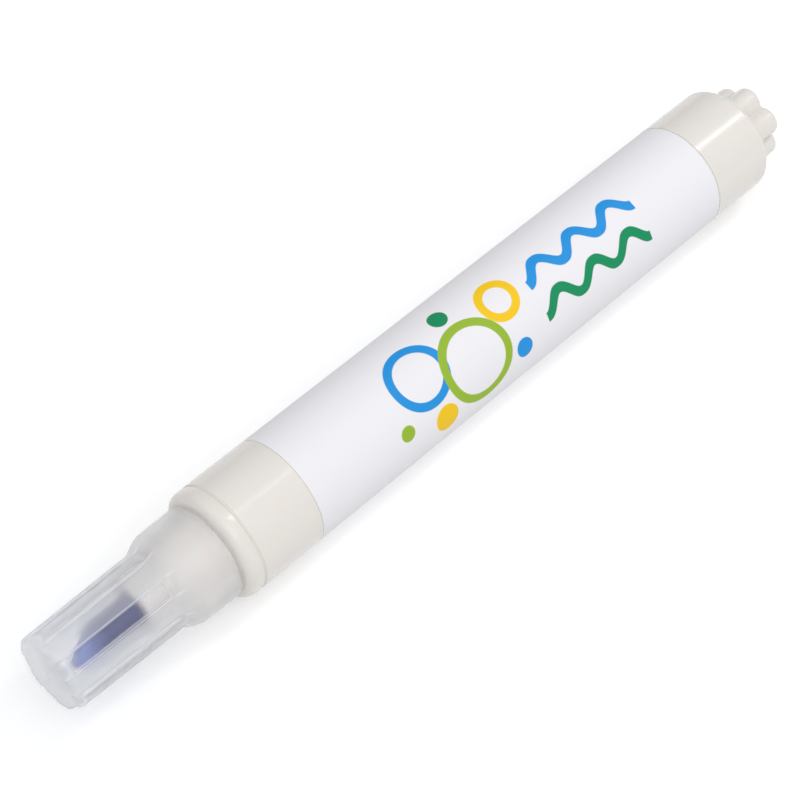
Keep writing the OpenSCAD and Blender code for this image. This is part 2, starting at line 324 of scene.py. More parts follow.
# %% Places on the pen
def places(material):
    """The place along the pen, and the turn about its axis in radians from straight down."""
    split = add_node(material, "ShaderNodeSeparateXYZ")
    place = add_node(material, "ShaderNodeTexCoord").outputs["Object"]
    link(material, place, split.inputs["Vector"])
    down = minus(material, AXIS_Z, split.outputs["Z"])
    return split.outputs["X"], maths(material, "ARCTAN2", split.outputs["Y"], down)


CAP_TIP_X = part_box("cap")[0][0]
SHOULDER_X, SKIRT_X = CAP_TIP_X + 16.9 * MM, CAP_TIP_X + 21.6 * MM
RIB_PITCH = 60
RIB_TURNS = [37 + RIB_PITCH * i for i in range(6)]
RIB_HALF, FLANK = 13, 3
print("cap", round((SHOULDER_X - CAP_TIP_X) / MM, 1), "mm of ribbed grip, ribs at", RIB_TURNS)

# %% [markdown]
# The cap is natural polypropylene. Fine crystals in it scatter a part of the light, so the wall is
# a milky haze over what lies behind. The haze is weak at the clear ribs, stronger in the grooves,
# strongest along the ribs' flanks, where the eye looks through more plastic, and it always grows
# where the wall is seen at a slant. A volume inside the wall would do the same, but it is slow and
# grainy, so the haze is worked out on the surface.

# %% Haze of the cap
RIB_HAZE, GROOVE_HAZE, FLANK_HAZE = 0.11, 0.3, 0.33
SKIRT_HAZE, SLANT_HAZE = 0.25, 0.45
FLANK_FADE = (0.8, 0.2)
TIP_FADE = (0.3 * MM, 2 * MM)
SHOULDER_FADE = 1.5 * MM


def rib_haze(material, turn):
    """The haze that the ribs and their flanks add to that of the grooves."""
    from_first = minus(material, turn, math.radians(RIB_TURNS[0]) - math.tau)
    from_rib = maths(material, "PINGPONG", from_first, math.radians(RIB_PITCH / 2))
    on_rib = ramp(material, from_rib, math.radians(RIB_HALF - FLANK / 2),
                  math.radians(RIB_HALF + FLANK / 2), RIB_HAZE - GROOVE_HAZE, 0)
    off_flank = maths(material, "ABSOLUTE", minus(material, from_rib, math.radians(RIB_HALF)))
    fade_from, fade_to = (math.radians(FLANK * share) for share in FLANK_FADE)
    on_flank = ramp(material, off_flank, fade_from, fade_to, 0, FLANK_HAZE)
    return plus(material, on_rib, on_flank)


def cap_haze(material, along, turn):
    """How milky the cap is at each point, from 0 to 1."""
    in_grip = times(
        material,
        ramp(material, along, CAP_TIP_X + TIP_FADE[0], CAP_TIP_X + TIP_FADE[1]),
        ramp(material, along, SKIRT_X - SHOULDER_FADE, SHOULDER_X))
    pattern = times(material, rib_haze(material, turn), in_grip)
    plain = ramp(material, along, SHOULDER_X, SKIRT_X, GROOVE_HAZE, SKIRT_HAZE)
    facing = add_node(material, "ShaderNodeLayerWeight").outputs["Facing"]
    slant = times(material, maths(material, "POWER", facing, 2), SLANT_HAZE)
    return plus(material, plus(material, plain, pattern), slant)


# %% [markdown]
# Light meets the wall in three ways. A part goes straight through: that is what alpha leaves out. A
# part is bent and blurred by the satin skin, which softens the edge of the nib behind it: that is
# transmission. The rest is milk, and subsurface scattering carries it through the thin wall. The
# grip has more of the bent light than the skirt. Toward the wide skirt the milk's colour is warmed:
# that is painted light, standing in for the ivory neck behind the skirt shining through it.

# %% Milky plastic of the cap
MILKY = (0.915, 0.94, 1.0)
# The second colour and the grip-to-skirt shares below it paint in the warm light of the ivory neck
# behind the skirt.
MILKY_NECK_LIGHT = (0.975, 0.965, 1.0)
PAINTED_NECK_LIGHT = (0.1, 0.85)
WARMTH_DRIFT = 0.15
MILK_SHARE = (0.72, 0.62)
BENT_SHARE = (0.3, 0.05)
MILKY_ROUGHNESS = (0.2, 0.28)


def milky_plastic():
    material, shader = start_material(
        "milky_plastic", IOR=1.4, Subsurface_Weight=1.0, Subsurface_Scale=1.5 * MM,
        Subsurface_Radius=(1, 1, 1))
    along, turn = places(material)

    def grip_to_skirt(at_grip, at_skirt):
        return ramp(material, along, SHOULDER_X, SKIRT_X, at_grip, at_skirt)

    drift = noise(material, scale=140, detail=3, stretch=(0.4, 1, 1))
    # The plastic's own random drift, plus the neck's warm light painted in toward the skirt.
    tint_and_neck_light = plus(material, remap(material, drift, -WARMTH_DRIFT, WARMTH_DRIFT),
                  grip_to_skirt(*PAINTED_NECK_LIGHT))
    link(material, blend_colours(material, tint_and_neck_light, MILKY, MILKY_NECK_LIGHT),
         shader.inputs["Base Color"])
    link(material, remap(material, drift, *MILKY_ROUGHNESS), shader.inputs["Roughness"])

    haze = cap_haze(material, along, turn)
    bent = grip_to_skirt(*BENT_SHARE)
    not_straight = plus(material, bent, times(material, haze, minus(material, 1, bent)))
    milk = times(material, haze, grip_to_skirt(*MILK_SHARE))
    link(material, not_straight, shader.inputs["Alpha"])
    link(material, minus(material, 1, maths(material, "DIVIDE", milk, not_straight)),
         shader.inputs["Transmission Weight"])
    return told(material)


milky = milky_plastic()

# %% [markdown]
# Felt has no gloss at all. Its fibres run along the stick, so the noise is packed across it, and
# the dye makes it dark blue. Toward the tip the colour fades to a paler blue.

# %% Felt of the nib
FELT_DARK = (0.006, 0.011, 0.13)
FELT_LIGHT = (0.02, 0.033, 0.24)
FELT_PALE_TIP = (0.27, 0.34, 0.7)
PALE_TIP_LEN, PALEST_TIP = 5.5 * MM, 0.9
NIB_TIP_X, NIB_BACK_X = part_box("nib")[0][0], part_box("nib")[1][0]


def felt_fibre():
    material, shader = start_material(
        "felt_fibre", Roughness=0.95, Specular_IOR_Level=0.1, Sheen_Weight=0.05)
    fibres = noise(material, scale=1500, detail=3, stretch=(0.1, 1, 1))
    along, _ = places(material)
    # Paler toward the tip.
    toward_tip = ramp(material, along, NIB_TIP_X + PALE_TIP_LEN, NIB_TIP_X, 0, PALEST_TIP)
    dyed = blend_colours(material, fibres, FELT_DARK, FELT_LIGHT)
    link(material, blend_colours(material, toward_tip, dyed, FELT_PALE_TIP), shader.inputs["Base Color"])
    add_bump(material, shader, fibres, 0.015 * MM)
    return told(material)


felt = felt_fibre()

# %% [markdown]
# Rubber is matt and a little uneven, the valve's parts are plain white polypropylene, and the
# spring is drawn steel wire. They are small or hidden, so one two-tone finish with a fine grain
# serves all three.

# %% Rubber, valve plastic and spring wire
GRAIN_FINER = 4


def soft_finish(name, colours, roughness, grain, depth, **sockets):
    """A two-tone finish with a fine grain, for the small parts."""
    material, shader = start_material(name, **sockets)
    drift = noise(material, scale=grain, detail=4)
    link(material, blend_colours(material, drift, *colours), shader.inputs["Base Color"])
    link(material, remap(material, drift, *roughness), shader.inputs["Roughness"])
    add_bump(material, shader, noise(material, scale=grain * GRAIN_FINER, detail=2),
             depth)
    return told(material)


tan_rubber = soft_finish(
    "tan_rubber", ((0.83, 0.75, 0.64), (0.86, 0.79, 0.69)), (0.55, 0.7), 700, 0.01 * MM)
valve_white = soft_finish(
    "valve_white", ((0.84, 0.84, 0.83), (0.87, 0.87, 0.86)), (0.3, 0.42), 400, 0.005 * MM)
spring_wire = soft_finish(
    "spring_wire", ((0.6, 0.61, 0.63), (0.68, 0.69, 0.7)), (0.2, 0.32), 1500, 0.003 * MM,
    Metallic=1.0)

# %% [markdown]
# The label is a white plastic film with a matt varnish. Its print is plain: soap bubbles of several
# sizes and two wavy lines. It is drawn with maths, so its edges stay crisp at any distance. The
# print's places are in millimetres along the pen from the barrel's mouth, and round it from the
# line that faces the viewer.

# %% Layout of the print
LEAF_GREEN, SKY_BLUE = (0.32, 0.5, 0.035), (0.015, 0.3, 0.74)
AMBER, SEA_GREEN = (0.95, 0.6, 0.01), (0.005, 0.28, 0.11)
PRINT_TURN = 219
RING, DISC = 1, 0
BUBBLES = [
    (33.5, -2.0, 5.0, RING, SKY_BLUE),
    (42.6, 1.4, 6.2, RING, LEAF_GREEN),
    (50.8, -3.6, 3.4, RING, AMBER),
    (34.6, 5.8, 2.1, DISC, AMBER),
    (50.6, 4.6, 1.5, DISC, SKY_BLUE),
    (27.6, 3.6, 1.2, DISC, LEAF_GREEN),
    (42.2, -7.0, 1.5, DISC, SEA_GREEN)]
RING_WIDTH = 1.3
WAVES = [(-3.6, SKY_BLUE), (1.8, SEA_GREEN)]
WAVE_START, WAVE_COUNT, WAVE_LEN = 56, 3, 7.4
WAVE_HEIGHT, WAVE_WIDTH = 1.3, 1.5
EDGE_SOFT = 0.05
print(len(BUBBLES), "bubbles and", len(WAVES), "wavy lines")


def label_places(material):
    """Distances in millimetres along the label and round it."""
    along, turn = places(material)
    from_print = minus(material, turn, math.radians(PRINT_TURN) - math.tau)
    wrapped = maths(material, "WRAP", from_print, math.pi, -math.pi)
    return (times(material, minus(material, along, MOUTH_X), 1 / MM),
            times(material, wrapped, BARREL_R / MM))


# %% [markdown]
# A shape of the print is a mask: 1 where a distance is below a limit, 0 outside, with a narrow soft
# edge. A ring is the points near a circle's line, and a disc the points near its middle. A wave is
# the points near a cosine, and its distance is divided by the line's steepness, so that the line
# keeps its width.

# %% Masks of the print
def inside_mask(material, distance, limit):
    """1 where a distance is below a limit."""
    return ramp(material, distance, limit + EDGE_SOFT, limit - EDGE_SOFT, shape="LINEAR")


def bubble_mask(material, along, around, bubble):
    """Where one bubble is printed."""
    place, side, radius, kind, _ = bubble
    u, v = minus(material, along, place), minus(material, around, side)
    reach = maths(material, "SQRT", plus(material, times(material, u, u), times(material, v, v)))
    if kind == DISC:
        return inside_mask(material, reach, radius)
    off_line = maths(material, "ABSOLUTE", minus(material, reach, radius - RING_WIDTH / 2))
    return inside_mask(material, off_line, RING_WIDTH / 2)


def wave_masks(material, along, around):
    """Where each wavy line is printed."""
    half = WAVE_LEN * WAVE_COUNT / 2
    from_middle = maths(material, "ABSOLUTE", minus(material, along, WAVE_START + half))
    in_length = inside_mask(material, from_middle, half)
    phase = times(material, minus(material, along, WAVE_START), math.tau / WAVE_LEN)
    swing = times(material, maths(material, "COSINE", phase), WAVE_HEIGHT)
    slope = times(material, maths(material, "SINE", phase), WAVE_HEIGHT * math.tau / WAVE_LEN)
    steepness = maths(material, "SQRT", plus(material, times(material, slope, slope), 1))
    masks = []
    for side, _ in WAVES:
        off_line = maths(material, "ABSOLUTE", minus(material, minus(
            material, around, swing), side))
        across = maths(material, "DIVIDE", off_line, steepness)
        masks.append(times(material, inside_mask(material, across, WAVE_WIDTH / 2), in_length))
    return masks


# %% [markdown]
# Ink lies on the film in the order of printing, so the finish starts from the white film and mixes
# each ink in where its mask is 1.

# %% Printed film of the label
FILM_WHITE = (0.89, 0.87, 0.89)
FILM_COOL = (0.885, 0.87, 0.895)


def printed_film():
    material, shader = start_material("printed_film", Roughness=0.55, Specular_IOR_Level=0.25)
    along, around = label_places(material)
    film = blend_colours(material, noise(material, scale=60, detail=2), FILM_WHITE, FILM_COOL)
    for bubble in BUBBLES:
        mask = bubble_mask(material, along, around, bubble)
        film = blend_colours(material, mask, film, bubble[-1])
    for mask, (_, ink) in zip(wave_masks(material, along, around), WAVES):
        film = blend_colours(material, mask, film, ink)
    link(material, film, shader.inputs["Base Color"])
    add_bump(material, shader, noise(material, scale=2200, detail=3), 0.004 * MM)
    return told(material)


print_film = printed_film()

# %% [markdown]
# The floor is plain white card. What the camera and the cap see of it gets a little glow on top of
# its lit colour, so it reads as white paper while the soft shadow under the pen stays.

# %% Floor
FLOOR_HALF = 1.5
FLOOR_WHITE, FLOOR_DRIFT, FLOOR_GLOW = 0.74, 0.005, 0.37


def white_card():
    material, shader = start_material("floor_white", Roughness=0.9, Specular_IOR_Level=0.1)
    card = blend_colours(material, noise(material, scale=3), (FLOOR_WHITE,) * 3,
                         (FLOOR_WHITE + FLOOR_DRIFT,) * 3)
    link(material, card, shader.inputs["Base Color"])
    rays = add_node(material, "ShaderNodeLightPath").outputs
    through_or_off = maths(
        material, "MAXIMUM", rays["Is Glossy Ray"], rays["Is Transmission Ray"])
    seen = maths(material, "MAXIMUM", rays["Is Camera Ray"], through_or_off)
    shader.inputs["Emission Color"].default_value = (1, 1, 1, 1)
    link(material, times(material, seen, FLOOR_GLOW), shader.inputs["Emission Strength"])
    return told(material)


floor_bm = bmesh.new()
bmesh.ops.create_grid(floor_bm, x_segments=1, y_segments=1, size=FLOOR_HALF)
floor = as_object(floor_bm, "floor")
floor.data.materials.append(white_card())

# %% [markdown]
# A product picture is lit from all round inside a white tent. The world plays the tent: it is
# brighter above the viewer's side and dimmer behind, which gives the round barrel its soft shading.

# %% World
SKY_COLOUR = (0.97, 0.98, 1, 1)
SKY_BRIGHT_SIDE = (-0.3, -0.4, 0.87)
SKY_DIM_AT = -0.2
SKY_STRENGTH = (0.38, 0.88)

world = bpy.data.worlds.new("studio")
bpy.context.scene.world = world
world.use_nodes = True
background = world.node_tree.nodes["Background"]
background.inputs["Color"].default_value = SKY_COLOUR
toward_light = add_node(world, "ShaderNodeVectorMath", operation="DOT_PRODUCT")
toward_light.inputs[1].default_value = SKY_BRIGHT_SIDE
sky_way = add_node(world, "ShaderNodeTexCoord").outputs["Generated"]
link(world, sky_way, toward_light.inputs[0])
link(world, ramp(world, toward_light.outputs["Value"], SKY_DIM_AT, 1, *SKY_STRENGTH),
     background.inputs["Strength"])
print("sky strength", SKY_STRENGTH[0], "to", SKY_STRENGTH[1])

# %% [markdown]
# One large soft lamp gives the pen its form and its shadow. Two narrow strips stand where a shiny
# barrel mirrors them to the viewer, and they draw the long streaks at the collar and at the tail.

# %% Lamps
LAMPS = [
    ("key", (-0.1, -0.45, 0.75), (0, 0, 0), (0.7, 0.5), 1.5),
    ("tail_strip", (0.49, -0.115, 0.62), (0.06, 0, 0), (0.04, 0.3), 0.7),
    ("front_strip", (0.235, -0.115, 0.62), (-0.03, 0, 0), (0.04, 0.12), 0.07)]


def softbox(name, place, aim, size, power):
    """A rectangular lamp with its face turned to a point."""
    lamp = bpy.data.lights.new(name, "AREA")
    lamp.shape = "RECTANGLE"
    lamp.size, lamp.size_y = size
    lamp.energy = power
    holder = bpy.data.objects.new(name, lamp)
    bpy.context.scene.collection.objects.link(holder)
    holder.location = place
    holder.rotation_euler = (Vector(place) - Vector(aim)).to_track_quat("Z", "Y").to_euler()
    print(name, "of", power, "W")


for lamp_values in LAMPS:
    softbox(*lamp_values)

# %% [markdown]
# The barrel is a straight tube with a shallow panel that the label lies in, and a step at the tail
# that stops the plug. Its whole wall is one closed outline. Beside each corner that gets rounded
# runs one more ring of edges: without it, smooth shading would bend the shine far down the wall.

# %% Barrel
LABEL_EDGE_X, LABEL_BACK_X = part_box("label")[0][0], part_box("label")[1][0]
LABEL_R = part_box("label")[1][2] - AXIS_Z
PANEL_R = LABEL_R - 0.1 * MM
PANEL_ROOM = 0.15 * MM
WALL = 1.2 * MM
BORE_R = BARREL_R - WALL
STOP_DEPTH, STOP_HEIGHT = 1.5 * MM, 0.3 * MM
TAIL_ROUND, MOUTH_ROUND, PANEL_ROUND = 0.75 * MM, 0.1 * MM, 0.04 * MM
RING_BESIDE, TAIL_RING = 0.1 * MM, 0.9 * MM
BARREL_STEPS = 128


def make_barrel():
    front, back = LABEL_EDGE_X - PANEL_ROOM, LABEL_BACK_X + PANEL_ROOM
    stop_x, stop_r = TAIL_X - STOP_DEPTH, BORE_R + STOP_HEIGHT
    bm = bmesh.new()
    wire = outline_wire(bm, [
        (MOUTH_X, BORE_R), (MOUTH_X, BARREL_R), (MOUTH_X + MOUTH_ROUND + RING_BESIDE, BARREL_R),
        (front - RING_BESIDE, BARREL_R), (front, BARREL_R), (front, PANEL_R),
        (back, PANEL_R), (back, BARREL_R), (back + RING_BESIDE, BARREL_R),
        (TAIL_X - TAIL_RING, BARREL_R), (TAIL_X, BARREL_R),
        (TAIL_X, stop_r), (stop_x, stop_r), (stop_x, BORE_R)], closed=True)
    spin_full(bm, wire, BARREL_STEPS)
    round_ring(bm, TAIL_X, BARREL_R, TAIL_ROUND, segments=6)
    round_ring(bm, MOUTH_X, BARREL_R, MOUTH_ROUND, segments=2)
    round_ring(bm, front, BARREL_R, PANEL_ROUND, segments=2)
    round_ring(bm, back, BARREL_R, PANEL_ROUND, segments=2)
    return as_object(bm, "barrel_shell")


barrel = make_barrel()
dress(barrel, ivory, "pen_body", "barrel")

# %% [markdown]
# Flutes, lobes and ribs break the round shape of three pieces. Each could be cut or added with a
# boolean, but the mesh stays cleaner when a spun vertex is only moved along its own radius, to
# where the new shape's edge lies at its angle.

# %% Moving vertices by their angle
def turn_of(vert):
    """A vertex's angle about the axis in degrees, counted from straight down."""
    return math.degrees(math.atan2(vert.co.y, AXIS_Z - vert.co.z)) % 360


def from_nearest(turn, turns):
    """The smallest angle between a turn and any of a list of turns."""
    return min(abs((turn - t + 180) % 360 - 180) for t in turns)


def move_radially(vert, radius):
    """Puts a vertex at another distance from the axis and keeps its angle."""
    share = radius / radius_of(vert)
    vert.co.y *= share
    vert.co.z = AXIS_Z + (vert.co.z - AXIS_Z) * share


def circle_from_axis(angle, distance, radius, least):
    """How far out a circle's edge lies at an angle from the line to its centre."""
    reach = radius ** 2 - (distance * math.sin(angle)) ** 2
    if reach <= 0 or abs(angle) > math.pi / 2:
        return least
    return max(least, distance * math.cos(angle) + math.sqrt(reach))


# %% [markdown]
# The nose is one moulding: a straight holder round the nib, a cone, a neck that the cap grips, the
# collar that shows in front of the barrel, and a spigot pushed into the barrel. The nib's hole has
# four shallow flutes that lead liquid along the felt, made by moving the hole's wall outward.

# %% Sizes of the nose
NOSE_TIP_X, SPIGOT_END_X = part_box("nose")[0][0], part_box("nose")[1][0]
COLLAR_R = BARREL_R - 0.05 * MM
GASKET_LEN, COLLAR_LEN = 0.2 * MM, 2.6 * MM
COLLAR_BACK_X = MOUTH_X - GASKET_LEN
COLLAR_FRONT_X = COLLAR_BACK_X - COLLAR_LEN
NECK_LEN, CONE_LEN = 4.85 * MM, 4 * MM
NECK_X = COLLAR_FRONT_X - NECK_LEN
NECK_R, NOSE_TIP_R = 6.2 * MM, 4.1 * MM
NIB_HOLE_R, CHAMBER_R, VALVE_BORE_R = 2.36 * MM, 4.2 * MM, 5.9 * MM
CUP_X = MOUTH_X + 1 * MM
CHAMBER_X = CUP_X - 5.5 * MM
SNAP_X = COLLAR_FRONT_X - NECK_LEN / 2
SNAP_HALF, SNAP_FLOOR, SNAP_DEPTH = 0.5 * MM, 0.25 * MM, 0.2 * MM
SPIGOT_R = BORE_R - 0.02 * MM
SPIGOT_CHAMFER = 0.6 * MM
COLLAR_ROUND, COLLAR_BACK_ROUND, NECK_FOOT_ROUND = 1.2 * MM, 0.15 * MM, 0.2 * MM
NOSE_TIP_ROUND, HOLE_ROUND = 0.5 * MM, 0.15 * MM
FLUTE_R, FLUTE_TURNS = 0.4 * MM, (45, 135, 225, 315)
HOLE_REACH = 0.2 * MM
NOSE_STEPS = 144
print("nose", round((SPIGOT_END_X - NOSE_TIP_X) / MM, 2), "mm long, neck",
      round(NECK_R * 2 / MM, 1), "mm across")


# %% [markdown]
# The outline runs from the nib's hole out and back along the outside to the spigot's end, then
# forward again through the valve's bore and the liquid chamber.

# %% Nose
def make_nose():
    bm = bmesh.new()
    tip = [(NOSE_TIP_X, NIB_HOLE_R), (NOSE_TIP_X, NOSE_TIP_R), (NECK_X - CONE_LEN, NOSE_TIP_R)]
    neck = [
        (NECK_X, NECK_R), (SNAP_X - SNAP_HALF, NECK_R), (SNAP_X - SNAP_FLOOR, NECK_R - SNAP_DEPTH),
        (SNAP_X + SNAP_FLOOR, NECK_R - SNAP_DEPTH), (SNAP_X + SNAP_HALF, NECK_R),
        (COLLAR_FRONT_X, NECK_R)]
    collar = [
        (COLLAR_FRONT_X, COLLAR_R), (COLLAR_FRONT_X + COLLAR_ROUND + 2 * RING_BESIDE, COLLAR_R),
        (COLLAR_BACK_X, COLLAR_R), (COLLAR_BACK_X, SPIGOT_R)]
    spigot = [
        (SPIGOT_END_X - SPIGOT_CHAMFER, SPIGOT_R), (SPIGOT_END_X, SPIGOT_R - SPIGOT_CHAMFER),
        (SPIGOT_END_X, VALVE_BORE_R)]
    bore = [(CUP_X, VALVE_BORE_R), (CUP_X, CHAMBER_R), (CHAMBER_X, CHAMBER_R),
            (CHAMBER_X, NIB_HOLE_R)]
    spin_full(bm, outline_wire(bm, tip + neck + collar + spigot + bore, closed=True), NOSE_STEPS)
    round_ring(bm, COLLAR_FRONT_X, COLLAR_R, COLLAR_ROUND, segments=8)
    round_ring(bm, COLLAR_BACK_X, COLLAR_R, COLLAR_BACK_ROUND, segments=2)
    round_ring(bm, NOSE_TIP_X, NOSE_TIP_R, NOSE_TIP_ROUND, segments=5)
    round_ring(bm, NOSE_TIP_X, NIB_HOLE_R, HOLE_ROUND, segments=2)
    round_ring(bm, COLLAR_FRONT_X, NECK_R, NECK_FOOT_ROUND, segments=3)
    for vert in bm.verts:
        away = math.radians(from_nearest(turn_of(vert), FLUTE_TURNS))
        if radius_of(vert) < NIB_HOLE_R + HOLE_REACH and vert.co.x < CHAMBER_X + MERGE:
            move_radially(vert, circle_from_axis(away, NIB_HOLE_R, FLUTE_R, radius_of(vert)))
    return as_object(bm, "nose_shell")


nose = make_nose()
dress(nose, ivory, "pen_body", "nose")

# %% [markdown]
# The plug closes the tail. Its grip is a ring of six round lobes: the outline is spun as a plain
# disc, and then each vertex is moved to where the nearest lobe's circle lies at its angle. A round
# rim needs no extra tool that way, because an outline point on the rim just belongs to a smaller
# circle.

# %% Sizes of the end plug
PLUG_X, PEN_BACK_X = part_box("end_plug")[0][0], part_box("end_plug")[1][0]
LOBE_PITCH = 60
LOBE_TURNS = [55 + LOBE_PITCH * i for i in range(6)]
LOBE_R, LOBE_OUT = 2.25 * MM, 3.9 * MM
VALLEY_R, VALLEY_SHRINK = 4.56 * MM, 0.6
RIM_ROUND, FOOT_FILLET = 0.9 * MM, 0.6 * MM
RIM_STEPS, FOOT_STEPS, STEPS_A_LOBE = 6, 3, 24
RING_X = PLUG_X + 3.7 * MM
RING_HALF, RING_FLOOR_R = 0.7 * MM, BORE_R - 1.25 * MM
PLUG_HOLLOW_R = SPIGOT_R - 1.5 * MM
PLUG_FLOOR_X = TAIL_X - 2 * MM
PLUG_CHAMFER = 0.5 * MM
FLANGE_R = BORE_R + STOP_HEIGHT - 0.02 * MM
print("plug", round((PEN_BACK_X - PLUG_X) / MM, 2), "mm long,", len(LOBE_TURNS), "lobes",
      round((LOBE_OUT + LOBE_R) * 2 / MM, 1), "mm across")


# %% [markdown]
# Inside the barrel the plug is a hollow spigot with a groove for the seal ring. Outside, a quarter
# circle at the foot of the lobes and another at their rim give the moulded look.

# %% End plug
def plug_outline():
    """Half outline of the plug as if its lobes were one round disc."""
    inside = [
        (PLUG_FLOOR_X, 0), (PLUG_FLOOR_X, PLUG_HOLLOW_R), (PLUG_X, PLUG_HOLLOW_R),
        (PLUG_X, SPIGOT_R - PLUG_CHAMFER), (PLUG_X + PLUG_CHAMFER, SPIGOT_R),
        (RING_X - RING_HALF, SPIGOT_R), (RING_X - RING_HALF, RING_FLOOR_R),
        (RING_X + RING_HALF, RING_FLOOR_R), (RING_X + RING_HALF, SPIGOT_R),
        (TAIL_X - STOP_DEPTH, SPIGOT_R), (TAIL_X - STOP_DEPTH, FLANGE_R), (TAIL_X, FLANGE_R)]
    lobe_top = LOBE_OUT + LOBE_R
    foot = [(TAIL_X + FOOT_FILLET * (1 - math.cos(a)), lobe_top + FOOT_FILLET * (1 - math.sin(a)))
            for a in (math.pi / 2 * i / FOOT_STEPS for i in range(FOOT_STEPS + 1))]
    rim = [(PEN_BACK_X - RIM_ROUND * (1 - math.sin(a)), lobe_top - RIM_ROUND * (1 - math.cos(a)))
           for a in (math.pi / 2 * i / RIM_STEPS for i in range(RIM_STEPS + 1))]
    return inside + foot + rim + [(PEN_BACK_X, LOBE_OUT / 2), (PEN_BACK_X, 0)]


def make_end_plug():
    bm = bmesh.new()
    wire = outline_wire(bm, plug_outline())
    start_at(bm, LOBE_TURNS[0] + LOBE_PITCH / 2)
    spin_full(bm, wire, len(LOBE_TURNS) * STEPS_A_LOBE)
    for vert in bm.verts:
        radius = radius_of(vert)
        if vert.co.x > TAIL_X - MERGE and LOBE_OUT < radius < FLANGE_R - MERGE:
            away = math.radians(from_nearest(turn_of(vert), LOBE_TURNS))
            inset = LOBE_OUT + LOBE_R - radius
            least = VALLEY_R - max(0, inset) * VALLEY_SHRINK - min(0, inset)
            move_radially(vert, circle_from_axis(away, LOBE_OUT, LOBE_R - inset, least))
    return as_object(bm, "end_plug_shell", sharp_angle=50)


end_plug = make_end_plug()
dress(end_plug, ivory, "pen_body", "end_plug")

# %% [markdown]
# The cap carries the look of the front. It is one thin shell: a ribbed grip, an S-shaped shoulder
# and a skirt. The S is half a wave of a cosine, which meets the grip and the skirt without a
# crease.

# %% Shape of the cap's wall
CAP_LIP_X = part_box("cap")[1][0]
CAP_LIP_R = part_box("cap")[1][2] - AXIS_Z
SKIRT_R = CAP_LIP_R - 0.12 * MM
GRIP_R, GRIP_BORE_R, CAP_BORE_R = 5.7 * MM, 4.85 * MM, 6.32 * MM
GRIP_DRAFT = 0.2 * MM
EASE_STEPS = 14
print("cap", round((CAP_LIP_X - CAP_TIP_X) / MM, 1), "mm long, lip",
      round(CAP_LIP_R * 2 / MM, 1), "mm across")


def ease(share):
    """A smooth S from 0 to 1."""
    share = min(1, max(0, share))
    return (1 - math.cos(math.pi * share)) / 2


def cap_outside_r(x):
    """The radius of the cap's outside between the ribs."""
    if x < SHOULDER_X:
        return GRIP_R - GRIP_DRAFT * (SHOULDER_X - x) / (SHOULDER_X - CAP_TIP_X)
    return GRIP_R + (SKIRT_R - GRIP_R) * ease((x - SHOULDER_X) / (SKIRT_X - SHOULDER_X))


def s_shoulder(from_x, from_r, to_x, to_r):
    """Outline points of the S-shaped rise."""
    shares = [i / EASE_STEPS for i in range(EASE_STEPS + 1)]
    return [(from_x + (to_x - from_x) * share, from_r + (to_r - from_r) * ease(share))
            for share in shares]


# %% [markdown]
# The outside and the inside of the wall are one outline. Its tip has the small dimple that the
# mould's gate leaves, its lip is opened to go over the neck's foot, and a low bead inside the skirt
# snaps into the neck's groove.

# %% Outline of the cap
END_WALL, END_ROUND, LIP_ROUND = 1.1 * MM, 1.1 * MM, 0.25 * MM
END_CHAMFER = 0.6 * MM
GATE_R, GATE_DEPTH = 0.8 * MM, 0.15 * MM
LIP_BAND = 0.4 * MM
LIP_ROOM, LIP_ROOM_LEN, LIP_ROOM_END = 0.4 * MM, 0.9 * MM, 1.3 * MM
BEAD_HALF, BEAD_HEIGHT = 0.45 * MM, 0.08 * MM
BORE_BEHIND = 0.3 * MM


def cap_outline():
    """Half outline of the cap's wall between the ribs."""
    dimple_x = CAP_TIP_X + GATE_DEPTH
    outside = [(dimple_x, 0), (dimple_x, GATE_R), (CAP_TIP_X, GATE_R),
               (CAP_TIP_X, cap_outside_r(CAP_TIP_X))]
    outside += s_shoulder(SHOULDER_X, GRIP_R, SKIRT_X, SKIRT_R)
    lip = [
        (CAP_LIP_X - LIP_BAND, CAP_LIP_R), (CAP_LIP_X, CAP_LIP_R),
        (CAP_LIP_X, CAP_BORE_R + LIP_ROOM), (CAP_LIP_X - LIP_ROOM_LEN, CAP_BORE_R + LIP_ROOM),
        (CAP_LIP_X - LIP_ROOM_END, CAP_BORE_R)]
    bead = [(SNAP_X + BEAD_HALF, CAP_BORE_R), (SNAP_X, CAP_BORE_R - BEAD_HEIGHT),
            (SNAP_X - BEAD_HALF, CAP_BORE_R)]
    inside = s_shoulder(SHOULDER_X + BORE_BEHIND, GRIP_BORE_R, SKIRT_X + BORE_BEHIND, CAP_BORE_R)
    end_x, end_r = CAP_TIP_X + END_WALL, GRIP_BORE_R - GRIP_DRAFT
    end = [(end_x + END_CHAMFER, end_r), (end_x, end_r - END_CHAMFER), (end_x, 0)]
    return outside + lip + bead + inside[::-1] + end


# %% [markdown]
# A rib's flank is only 3 degrees wide, and an even spin would need hundreds of steps to catch it.
# So the outline is spun in stretches, with short steps at the flanks and long ones between them,
# and the outside is then raised where a rib runs.

# %% Cap
RIB_HEIGHT = 0.4 * MM
OUTER_SKIN, OUTER_SPARE = 0.4 * MM, 0.1 * MM
GROOVE_STEPS, FLANK_STEPS, RIB_STEPS = 5, 4, 8


def spin_in_stretches(bm, geom, stretches):
    """Spins an outline round the axis with its own number of steps in each stretch."""
    for degrees, steps in stretches:
        made = bmesh.ops.spin(bm, geom=geom, cent=CENTRE, axis=AXIS,
                              angle=math.radians(degrees), steps=steps)
        geom = made["geom_last"]
    close_up(bm)


